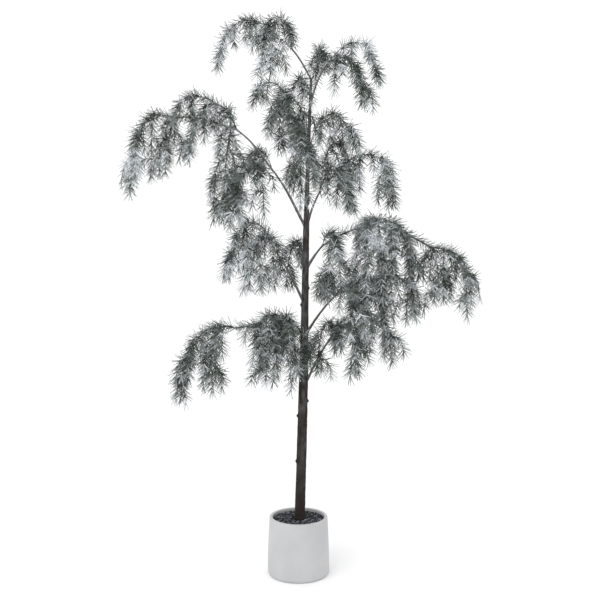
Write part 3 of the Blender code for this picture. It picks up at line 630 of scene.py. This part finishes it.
# rise is how far the stem climbs to its crest, fall is how far it hangs from there, crest is
# where along its reach the crest lies and bare is the part of the stem with no needles.
# hangs has the drop of each side shoot, in order along the stem.
Mass = namedtuple("Mass", "foot heading reach rise fall crest arrive bare hangs")
MASSES = {
    "top_left_tip": Mass("bough_top_left", 175, 0.255, 0.09, 0.16, 0.62, -76, 0.1, (0.14, 0.08, 0.06, 0.06)),
    "top_left_heart": Mass("bough_top_left", 249, 0.145, 0.08, 0.225, 0.4, -86, 0.08, (0.07, 0.12, 0.06)),
    "top_back": Mass("trunk", 64, 0.115, 0.14, 0.08, 0.5, -86, 0.35, (0.06, 0.06)),
    "top_right_tip": Mass("bough_top_right", 3, 0.185, 0.08, 0.14, 0.62, -78, 0.28, (0.05, 0.05, 0.04)),
    "top_right_middle": Mass("bough_top_right", 325, 0.155, 0.015, 0.185, 0.4, -84, 0.05, (0.13, 0.07, 0.07)),
    "collar": Mass("trunk", 217, 0.105, -0.005, 0.175, 0.5, -86, 0.1, (0.07, 0.09, 0.07)),
    "upper_left_crest": Mass("bough_upper_left", 167, 0.145, 0.115, 0.085, 0.5, -84, 0.1, (0.06, 0.05)),
    "upper_left_hang": Mass("bough_upper_left", 242, 0.08, 0.055, 0.21, 0.6, -86, 0.08, (0.08, 0.09, 0.06)),
    "upper_front": Mass(1.51, 260, 0.15, 0.15, 0.3, 0.55, -88, 0.3, (0.1, 0.12, 0.05)),
    "upper_back": Mass(1.58, 98, 0.205, 0.165, 0.255, 0.55, -86, 0.4, (0.07, 0.12, 0.08)),
    "upper_right": Mass(1.595, 341, 0.17, 0.115, 0.13, 0.45, -72, 0.25, (0.08, 0.08, 0.05)),
    "left_under": Mass("bough_left", 220, 0.19, 0.0, 0.19, 0.35, -86, 0.12, (0.17, 0.11, 0.13, 0.07)),
    "left_fill": Mass("bough_left_far", 242, 0.115, 0.015, 0.35, 0.12, -70, 0.05, (0.1, 0.12, 0.12, 0.06)),
    "left_back": Mass("bough_left", 128, 0.24, 0.08, 0.175, 0.45, -84, 0.15, (0.06, 0.1, 0.08)),
    "left_crest": Mass("bough_left_far", 200, 0.175, 0.09, 0.195, 0.5, -84, 0.08, (0.1, 0.12, 0.1)),
    "left_outer": Mass("bough_left_far", 159, 0.305, 0.14, 0.285, 0.7, -84, 0.3, (0.08, 0.12, 0.14)),
    "left_tip": Mass("bough_left_outer", 191, 0.155, 0.01, 0.265, 0.45, -84, 0.05, (0.22, 0.18, 0.12)),
    "right_up": Mass("bough_right", 25, 0.13, 0.185, 0.13, 0.45, -84, 0.28, (0.08, 0.1, 0.07)),
    "right_heart": Mass("bough_right", 311, 0.14, 0.085, 0.16, 0.5, -84, 0.22, (0.06, 0.1, 0.09, 0.05)),
    "right_tip": Mass("bough_right", 3, 0.27, 0.135, 0.185, 0.72, -84, 0.34, (0.12, 0.13, 0.1)),
    "mid_left_top": Mass("bough_mid_left", 161, 0.185, 0.11, 0.21, 0.55, -84, 0.12, (0.08, 0.12, 0.12, 0.08)),
    "mid_left_front": Mass("bough_mid_left", 234, 0.15, 0.05, 0.2, 0.4, -86, 0.05, (0.13, 0.12, 0.12, 0.06)),
    "mid_back": Mass(1.175, 116, 0.155, 0.07, 0.175, 0.45, -86, 0.2, (0.08, 0.1, 0.06)),
    "big_right_near": Mass("bough_big_right", 296, 0.14, 0.05, 0.21, 0.5, -86, 0.08, (0.08, 0.12, 0.14)),
    "big_right_heart": Mass("bough_big_right_far", 275, 0.17, 0.025, 0.29, 0.4, -87, 0.05,
        (0.1, 0.18, 0.2, 0.1)),
    "big_right_back": Mass("bough_big_right_far", 94, 0.2, 0.025, 0.24, 0.5, -86, 0.12, (0.1, 0.14, 0.12)),
    "big_right_crest": Mass("bough_big_right_far", 339, 0.135, 0.015, 0.18, 0.55, -84, 0.1,
        (0.16, 0.16, 0.1)),
    "big_right_outer": Mass("bough_big_right_outer", 58, 0.085, 0.0, 0.19, 0.35, -86, 0.1, (0.1, 0.12, 0.08)),
    "big_right_tip": Mass("bough_big_right_outer", 341, 0.15, -0.01, 0.135, 0.3, -60, 0.08,
        (0.18, 0.22, 0.11)),
    "low_right_heel": Mass("bough_low_right", 114, 0.1, 0.1, 0.105, 0.35, -86, 0.1, (0.06, 0.08, 0.05)),
    "low_right_front": Mass("bough_low_right", 303, 0.18, 0.04, 0.155, 0.5, -86, 0.1,
        (0.07, 0.12, 0.12, 0.08)),
    "low_right_middle": Mass("bough_low_right", 6, 0.19, 0.055, 0.25, 0.6, -86, 0.2,
        (0.08, 0.12, 0.18, 0.12)),
    "low_right_tip": Mass("bough_low_right", 22, 0.34, 0.075, 0.155, 0.75, -80, 0.3, (0.1, 0.12, 0.14, 0.1)),
    "foot_right_heel": Mass("bough_foot_right", 228, 0.09, 0.055, 0.185, 0.35, -86, 0.05, (0.1, 0.07, 0.06)),
    "foot_right_front": Mass("bough_foot_right", 304, 0.155, 0.05, 0.17, 0.6, -86, 0.05, (0.07, 0.09, 0.09)),
    "foot_right_back": Mass("bough_foot_right", 43, 0.165, 0.055, 0.12, 0.55, -86, 0.15, (0.08, 0.08)),
    "low_left_heel": Mass("bough_low_left", 307, 0.105, 0.08, 0.21, 0.45, -86, 0.1, (0.09, 0.12, 0.08)),
    "low_left_front": Mass("bough_low_left", 253, 0.14, 0.08, 0.24, 0.35, -87, 0.1, (0.12, 0.14, 0.12, 0.06)),
    "low_left_middle": Mass("bough_low_left", 226, 0.13, 0.075, 0.175, 0.5, -84, 0.08, (0.08, 0.12)),
    "low_left_hang": Mass("bough_low_left_far", 203, 0.1, 0.01, 0.195, 0.4, -84, 0.05, (0.18, 0.16, 0.1)),
    "low_left_tip": Mass("bough_low_left_far", 174, 0.2, 0.005, 0.265, 0.34, -86, 0.1,
        (0.12, 0.14, 0.1, 0.08)),
    "low_back": Mass(0.675, 124, 0.235, 0.265, 0.2, 0.5, -86, 0.3, (0.1, 0.1, 0.12)),
}


def arch_path(start, away, heading, reach, rise, fall, crest, arrive):
    """A weeping shoot: it rises from the foot to its crest, arches over and hangs from there."""
    level = towards(heading, 0)
    top = start + crest * reach * level + rise * UP
    end = start + reach * level + (rise - fall) * UP
    handle = 0.45 * np.linalg.norm(top - start)
    up_side = bezier(start, start + handle * away, top - 0.5 * crest * reach * level, top)
    over = 0.55 * (1 - crest) * reach * level
    down_side = bezier(top, top + over, end - 0.42 * fall * towards(heading, arrive), end)
    return spaced(np.concatenate([up_side, down_side[1:]]), SAMPLE_STEP)


def first_slope(mass):
    """The pitch at which a stem leaves its foot, steeper where its crest is high and near."""
    return min(80.0, 8.0 + 1.25 * math.degrees(math.atan2(mass.rise, mass.crest * mass.reach)))


def spread_apart(wanted, sizes, blocked):
    """Turns the directions that leave one knob until their feet stand clear of each other."""
    found = [unit(w) for w in wanted]
    ring = KNOB_RADIUS + GAP
    for _ in range(200):
        moved = False
        for i in range(len(found)):
            for j in range(i):
                need = 2.0 * math.asin(min(0.95, (sizes[i] + sizes[j] + 0.0006) / (2.0 * ring)))
                angle = math.acos(float(np.clip(found[i] @ found[j], -1.0, 1.0)))
                if angle < need:
                    aside = found[i] - found[j] + np.array([1e-4, 2e-4, 3e-4])
                    share = 0.5 * (need - angle) + 0.01
                    found[i] = unit(found[i] + share * unit(aside) * sizes[j] / (sizes[i] + sizes[j]))
                    found[j] = unit(found[j] - share * unit(aside) * sizes[i] / (sizes[i] + sizes[j]))
                    moved = True
        for i in range(len(found)):
            angle = math.acos(float(np.clip(found[i] @ blocked, -1.0, 1.0)))
            if angle < math.radians(62):
                found[i] = unit(found[i] - 0.05 * blocked)
                moved = True
        if not moved:
            break
    return found


def grow_skeleton():
    """Lays out the centre lines of all boughs and shoots, each piece under its own name."""
    wanted = {}
    for name, limb in LIMBS.items():
        wanted[name] = (limb.foot, towards(limb.heading, limb.leave), limb.thick)
    for name, mass in MASSES.items():
        wanted[name] = (mass.foot, towards(mass.heading, first_slope(mass)), CORE_ROOT)
    ends = {"trunk": trunk_centre(TRUNK_TOP)}
    back = {"trunk": -UP}
    limbs = {}
    away = {}
    for foot in ["trunk"] + list(LIMBS):
        if foot in LIMBS:
            limb = LIMBS[foot]
            start, leave = away[foot] if foot in away else (trunk_centre(limb.foot), wanted[foot][1])
            limbs[foot] = limb_path(start, leave, limb)
            ends[foot] = limbs[foot][-1]
            back[foot] = unit(limbs[foot][-3] - limbs[foot][-1])
        guests = [name for name, value in wanted.items() if value[0] == foot]
        turned = spread_apart([wanted[g][1] for g in guests], [wanted[g][2] for g in guests], back[foot])
        for guest, way in zip(guests, turned):
            away[guest] = (ends[foot] + (KNOB_RADIUS + GAP) * way, way)
    shoots = {}
    for number, (name, mass) in enumerate(MASSES.items()):
        chance = random.Random(100 + number)
        if name in away:
            start, leave = away[name]
        else:
            leave = wanted[name][1]
            start = trunk_centre(mass.foot)
            start = start + (trunk_radius(mass.foot) + GAP + CORE_ROOT) * towards(mass.heading, 0)
        shape = (mass.heading, mass.reach, mass.rise, mass.fall, mass.crest, mass.arrive)
        stem = arch_path(start, leave, *shape)
        shoots[name] = [stem]
        for order, drop in enumerate(mass.hangs):
            place = mass.bare + (0.88 - mass.bare) * (order + 0.5) / len(mass.hangs)
            root = point_along(whorl_line(stem), place)
            side = 1 if (order + number) % 2 else -1
            heading = mass.heading + side * chance.uniform(50, 85)
            lift = chance.uniform(0.004, 0.014)
            reach = 0.012 + 0.30 * drop
            path = arch_path(root, towards(heading, 30), heading, reach, lift, drop + lift, 0.5, -86)
            shoots[name].append(path)
    return limbs, shoots


def dense(line):
    """The straight stretches of a line, each divided into short equal steps."""
    parts = []
    for a, b in zip(line, line[1:]):
        count = max(1, int(math.ceil(np.linalg.norm(b - a) / SAMPLE_STEP)))
        parts.append(a + np.linspace(0.0, 1.0, count, endpoint=False)[:, None] * (b - a))
    parts.append(line[-1:])
    return np.concatenate(parts)


def whorl_line(path):
    """The points of a shoot where its core has a ring: a short foot, then equal steps."""
    run = np.concatenate([[0.0], np.cumsum(np.linalg.norm(np.diff(path, axis=0), axis=1))])
    count = max(1, int(round((run[-1] - FOOT_STEP) / WHORL_STEP)))
    marks = np.concatenate([[0.0], np.linspace(FOOT_STEP, run[-1], count + 1)])
    return np.stack([np.interp(marks, run, path[:, axis]) for axis in range(3)], axis=1)


def drop_crowded(limbs, shoots):
    """Shortens a side shoot where it comes too near a limb, the trunk or another mass's shoots."""
    trunk = np.array([trunk_centre(h) for h in np.arange(TRUNK_FOOT, TRUNK_TOP, SAMPLE_STEP)])
    girth = np.array([trunk_radius(p[2]) for p in trunk])
    wood = [dense(spaced(path, BOUGH_STEP)) for path in limbs.values()]
    kept = {name: [whorl_line(paths[0])] for name, paths in shoots.items()}
    for name, paths in shoots.items():
        for path in paths[1:]:
            others = [dense(line) for other, lines in kept.items() if other != name for line in lines]
            solid = np.concatenate(others + wood)
            trail = dense(whorl_line(path))
            near = np.linalg.norm(trail[:, None] - solid[None], axis=2).min(axis=1) < 0.015
            near |= (np.linalg.norm(trail[:, None] - trunk[None], axis=2) - girth[None]).min(axis=1) < 0.010
            near[:2] = False
            length = int(np.argmax(near)) - 5 if near.any() else len(path)
            if length >= 8:
                kept[name].append(whorl_line(path[:length]))
    return kept


def carried_frames(path):
    """Two unit vectors across a path that turn with it and don't twist about it."""
    tangents = np.gradient(path, axis=0)
    tangents /= np.linalg.norm(tangents, axis=1)[:, None]
    side = unit(np.cross(tangents[0], [0.31, 0.87, 0.40]))
    sides = []
    for tangent in tangents:
        side = unit(side - (side @ tangent) * tangent)
        sides.append(side)
    sides = np.array(sides)
    return sides, np.cross(tangents, sides)


def swept(path, radii, steps, rough, seed):
    """points[ring, step] of a round skin carried along a path, its radius raised and lowered by noise."""
    side, other = carried_frames(path)
    v, u = np.meshgrid(np.linspace(0.0, 1.0, len(path)), np.arange(steps) / steps, indexing="ij")
    spread = radii[:, None] * (1.0 + rough * lattice_noise(u, v, 5, max(4, len(path) // 3), seed))
    angle = (2.0 * math.pi * u)[..., None]
    across = np.cos(angle) * side[:, None] + np.sin(angle) * other[:, None]
    return path[:, None] + spread[..., None] * across


def bough_skin(limb, path, seed):
    """A bough's skin: its radius falls evenly to the end, with a bell-shaped swelling at the end.

    One that leaves the trunk's side has a collar at its foot. Any other starts in the middle of the
    end that it grows from.
    """
    on_trunk = isinstance(limb.foot, float)
    if not on_trunk:
        behind = limbs[limb.foot][-1] if limb.foot in limbs else trunk_centre(TRUNK_TOP)
        path = np.concatenate([behind[None], path])
    path = spaced(path, BOUGH_RING_STEP)
    t = np.linspace(0.0, 1.0, len(path))
    length = len(path) * BOUGH_RING_STEP
    radius = limb.thick + (BOUGH_END_RADIUS - limb.thick) * t
    radius = radius + SWELLING[0] * np.exp(-((t - 1.0) * length / SWELLING[1]) ** 2)
    if on_trunk:
        radius = radius + COLLAR[0] * np.exp(-(t * length / COLLAR[1]) ** 2)
    return swept(path, radius, BOUGH_STEPS, 0.12, seed)


limbs, long_shoots = grow_skeleton()
shoots = drop_crowded(limbs, long_shoots)
skins = [bough_skin(LIMBS[name], path, 200 + order) for order, (name, path) in enumerate(limbs.items())]
boughs = joined_skins("bough_bark", skins)
boughs.data.materials.append(bark_material("bough_bark", bark_group, BOUGH_BARK, BOUGH_FROST))
normals = np.empty(3 * len(boughs.data.vertices), dtype=np.float32)
boughs.data.vertices.foreach_get("normal", normals)
facing_up = normals.reshape(-1, 3)[:, 2]
patches = np.random.default_rng(5).normal(0, 0.1, len(facing_up))
vertex_amount(boughs, "frost", np.clip(0.25 + 0.55 * facing_up + patches, 0.05, 0.9))
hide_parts(*LIMBS)


# Shoots and needles
# Wire-cored foxtail shoots, up to 4 mm thick, that arch over and hang. Tufts of soft plastic needles,
# 28 to 41 mm long, stand forward all round them, dark grey-green under bluish-white flock. Each part
# of the crown is one piece of needles, and all the wire cores are one piece of twigs.
STEM_RADIUS = 0.0019
SHOOT_RADIUS = 0.0015
TWIG_RADIUS = 0.0010
TWIG_RING_STEP = 0.012
TWIG_STEPS = 5
STEM_SPACING = 0.080
SHOOT_SPACING = 0.072
TUFT_STEP = 0.0105
NEEDLE_SPREAD = (40, 68)
NEEDLE_SAG = 0.09
NEEDLE_SIZES = (0.028, 0.041)
NEEDLE_FOOT_RADIUS = 0.00130
NEEDLE_TIP_RADIUS = 0.00075
NEEDLE_PROUD = 0.008
NEEDLE_TONES = [
    (0.016, 0.024, 0.017),
    (0.042, 0.058, 0.045),
    (0.092, 0.116, 0.098),
    (0.170, 0.198, 0.182),
    (0.280, 0.310, 0.310),
    (0.430, 0.465, 0.480),
    (0.620, 0.655, 0.690),
    (0.800, 0.830, 0.870),
]
TWIG_BARK = (0.045, 0.043, 0.040)
TWIG_FROST = (0.34, 0.36, 0.38)
# x, z and radius of the places where the needles get painted highlights: the crown is made paler where it is
# lit
PAINTED_HIGHLIGHT_SPOTS = [
    (0.305, 1.522, 0.06),
    (0.286, 1.261, 0.07),
    (-0.114, 1.896, 0.06),
    (-0.275, 2.008, 0.06),
    (0.238, 1.982, 0.06),
    (-0.200, 1.160, 0.07),
    (-0.612, 1.522, 0.06),
]
# how the names of a crown part's masses begin, and the boughs in it that bear needles themselves
CROWN_PARTS = {
    "top": (("top_", "collar"), ()),
    "upper": (("upper_",), ()),
    "left": (("left_",), ("bough_left_outer",)),
    "right": (("right_",), ()),
    "middle": (("mid_",), ()),
    "big_right": (("big_right_",), ("bough_big_right_far", "bough_big_right_outer")),
    "low_right": (("low_right_",), ()),
    "foot_right": (("foot_right_",), ()),
    "low_left": (("low_left_", "low_back"), ("bough_low_left_far",)),
}
Shoot = namedtuple("Shoot", "line bare needles radius")


def finer_twigs(line, spacing, chance):
    """Short shoots that leave a shoot to both sides in turn, rise a little and hang."""
    run = np.concatenate([[0.0], np.cumsum(np.linalg.norm(np.diff(line, axis=0), axis=1))])
    found = []
    mark = spacing * chance.uniform(0.5, 1.0)
    side = 1
    while mark < run[-1] - 0.02:
        root = np.array([np.interp(mark, run, line[:, axis]) for axis in range(3)])
        ahead = np.array([np.interp(mark + 0.01, run, line[:, axis]) for axis in range(3)]) - root
        heading = math.degrees(math.atan2(ahead[1], ahead[0])) + side * chance.uniform(45, 95)
        drop = chance.uniform(0.040, 0.090) * (1.0 - 0.35 * mark / run[-1])
        reach = chance.uniform(0.028, 0.055)
        found.append(arch_path(root, towards(heading, 20), heading, reach, 0.004, drop, 0.45, -84))
        side = -side
        mark += spacing * chance.uniform(0.85, 1.3)
    return found


def crown_shoots(names, needled_boughs, chance):
    """Every needled line of one part of the crown: stems, side shoots, finer twigs and boughs."""
    found = []
    for name in names:
        for order, coarse in enumerate(shoots[name]):
            line = spaced(rounded(coarse, 2), SAMPLE_STEP)
            bare = 0.9 * MASSES[name].bare * SAMPLE_STEP * len(line) if order == 0 else 0.0
            radius = STEM_RADIUS if order == 0 else SHOOT_RADIUS
            found.append(Shoot(line, max(0.012, bare), 7, radius))
            for twig in finer_twigs(line, STEM_SPACING if order == 0 else SHOOT_SPACING, chance):
                found.append(Shoot(twig, 0.008, 6, TWIG_RADIUS))
    for name in needled_boughs:
        found.append(Shoot(limbs[name], 0.03, 7, None))
    return found


def needle_tufts(shoot, chance):
    """Feet, directions and lengths of the needles on one shoot, shaped [tuft, needle].

    Tufts stand at equal steps. In each the needles are dealt round the shoot and lean forward 40 to
    68 degrees from it, with a little sag. The last tuft closes forward over the tip.
    """
    line, count = shoot.line, shoot.needles
    run = np.concatenate([[0.0], np.cumsum(np.linalg.norm(np.diff(line, axis=0), axis=1))])
    marks = np.append(np.arange(shoot.bare, run[-1] - 0.4 * TUFT_STEP, TUFT_STEP), run[-1] - 0.001)
    tangents = np.gradient(line, axis=0)
    centre = np.stack([np.interp(marks, run, line[:, axis]) for axis in range(3)], axis=-1)
    ahead = np.stack([np.interp(marks, run, tangents[:, axis]) for axis in range(3)], axis=-1)
    ahead /= np.linalg.norm(ahead, axis=1)[:, None]
    side = np.cross(ahead, [0.31, 0.87, 0.40])
    side /= np.linalg.norm(side, axis=1)[:, None]
    other = np.cross(ahead, side)
    shape = (len(marks), count)
    turn = 2 * math.pi * (np.arange(count)[None] + chance.uniform(-0.35, 0.35, shape)) / count
    turn = turn + chance.uniform(0, 6.28, (len(marks), 1))
    pitch = np.radians(chance.uniform(*NEEDLE_SPREAD, shape))
    pitch[-1] = np.radians(chance.uniform(8, 48, count))
    around = np.cos(turn)[..., None] * side[:, None] + np.sin(turn)[..., None] * other[:, None]
    way = np.cos(pitch)[..., None] * ahead[:, None] + np.sin(pitch)[..., None] * around
    way[..., 2] -= NEEDLE_SAG
    way /= np.linalg.norm(way, axis=-1)[..., None]
    foot = centre[:, None] + chance.uniform(-0.45, 0.25, shape)[..., None] * TUFT_STEP * ahead[:, None]
    return foot, way, chance.uniform(*NEEDLE_SIZES, shape)


def tuft_tones(foot, chance):
    """One tone for each tuft: paler along the shoot, by chance, and in the spots of painted highlight where
    the crown is lit.
    """
    share = np.linspace(0.0, 1.0, len(foot))
    flock_and_highlight = 0.30 + 0.15 * share + chance.normal(0.0, 0.25, len(foot))
    # The listed spots add painted highlight: tufts near them get paler tones.
    for x, z, size in PAINTED_HIGHLIGHT_SPOTS:
        away = ((foot[:, 0, 0] - x) ** 2 + (foot[:, 0, 2] - z) ** 2) / size ** 2
        flock_and_highlight = flock_and_highlight + 0.30 * np.exp(-away)
    count = len(NEEDLE_TONES)
    return np.clip((flock_and_highlight * count).astype(int), 0, count - 1)


def needle_mesh(name, foot, way, length, tones):
    """Needles as slim closed three-sided bars: a ring at the foot, a narrower blunt ring at the tip."""
    side = np.cross(way, [0.43, 0.61, 0.66])
    side /= np.linalg.norm(side, axis=-1)[..., None]
    other = np.cross(way, side)
    corner = 2 * math.pi * np.arange(3)[None, :, None] / 3
    ring = np.cos(corner) * side[:, None] + np.sin(corner) * other[:, None]
    low = foot[:, None] + NEEDLE_FOOT_RADIUS * ring
    high = (foot + length[:, None] * way)[:, None] + NEEDLE_TIP_RADIUS * ring
    vertices = np.concatenate([low, high], axis=1).reshape(-1, 3)
    first = 6 * np.arange(len(foot))[:, None, None]
    sides = (np.array([(0, 1, 4, 3), (1, 2, 5, 4), (2, 0, 3, 5)])[None] + first).reshape(-1, 4)
    ends = (np.array([(2, 1, 0), (3, 4, 5)])[None] + first).reshape(-1, 3)
    face_tones = np.concatenate([np.repeat(tones, 3), np.repeat(tones, 2)])
    return solid_mesh(name, vertices, [sides, ends], False, face_tones)


needle_materials = [
    plain_material(f"needle_tone_{order + 1}", tone, 0.7) for order, tone in enumerate(NEEDLE_TONES)
]
low_edge = np.array(cad_box[0]) - NEEDLE_PROUD
high_edge = np.array(cad_box[1]) + NEEDLE_PROUD
all_shoots = []
for part_order, (part, (beginnings, needled_boughs)) in enumerate(CROWN_PARTS.items()):
    names = [name for name in MASSES if name.startswith(beginnings)]
    part_shoots = crown_shoots(names, needled_boughs, random.Random(500 + part_order))
    all_shoots += part_shoots
    chance = np.random.default_rng(900 + part_order)
    kept_needles = []
    for shoot in part_shoots:
        foot, way, length = needle_tufts(shoot, chance)
        tone = np.repeat(tuft_tones(foot, chance)[:, None], shoot.needles, axis=1)
        tip = foot + length[..., None] * way
        inside = ((tip > low_edge) & (tip < high_edge)).all(axis=-1)
        kept_needles.append((foot[inside], way[inside], length[inside], tone[inside]))
    needles = needle_mesh(f"needles_{part}", *[np.concatenate(column) for column in zip(*kept_needles)])
    for material in needle_materials:
        needles.data.materials.append(material)
    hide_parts(*names)

skins = []
for shoot in all_shoots:
    if shoot.radius is not None:
        line = spaced(shoot.line, TWIG_RING_STEP)
        taper = 1.0 - 0.45 * np.linspace(0.0, 1.0, len(line))
        skins.append(swept(line, shoot.radius * taper, TWIG_STEPS, 0.08, len(skins)))
twigs = joined_skins("twigs", skins)
twigs.data.materials.append(bark_material("twig_bark", bark_group, TWIG_BARK, TWIG_FROST))
vertex_amount(twigs, "frost", np.full(len(twigs.data.vertices), 0.30))
